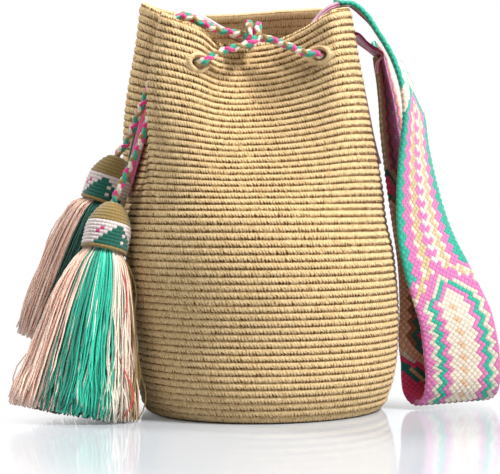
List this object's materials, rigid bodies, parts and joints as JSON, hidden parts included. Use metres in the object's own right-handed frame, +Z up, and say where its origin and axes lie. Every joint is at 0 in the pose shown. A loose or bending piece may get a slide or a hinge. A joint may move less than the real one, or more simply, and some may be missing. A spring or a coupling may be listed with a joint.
{
  "type": "crochet drawstring shoulder bag",
  "caption": "Tall soft round-bottomed crochet bag with a gathered drawstring mouth, two hanging tassels on the cord's ends and a wide flat knotted shoulder strap.",
  "frame": {"origin": "centre of the bag's flat round base, on the ground", "axes": "+Z up out of the mouth, -Y the bag's front, +X the side where the strap hangs; the tassels hang on the -X side"},
  "size_m": [0.3672, 0.197, 0.3138],
  "materials": {
    "tan_cotton": "matt mercerised cotton, single crochet",
    "braided_cord": "round four-strand cotton braid",
    "olive_cap": "matt crocheted cotton",
    "green_thread": "loose cotton thread",
    "peach_thread": "loose cotton thread",
    "white_thread": "wound cotton thread",
    "strap_cotton": "knotted cotton band in several colours"
  },
  "bodies": {
    "root": {"bag_body": "tan_cotton", "drawstring": "braided_cord", "strap": "strap_cotton", "tail_front": "braided_cord", "tail_rear": "braided_cord", "tassel_front_binding": "white_thread", "tassel_front_cap": "olive_cap", "tassel_front_skirt": "green_thread", "tassel_rear_binding": "white_thread", "tassel_rear_cap": "olive_cap", "tassel_rear_skirt": "peach_thread"}
  },
  "joints": []
}
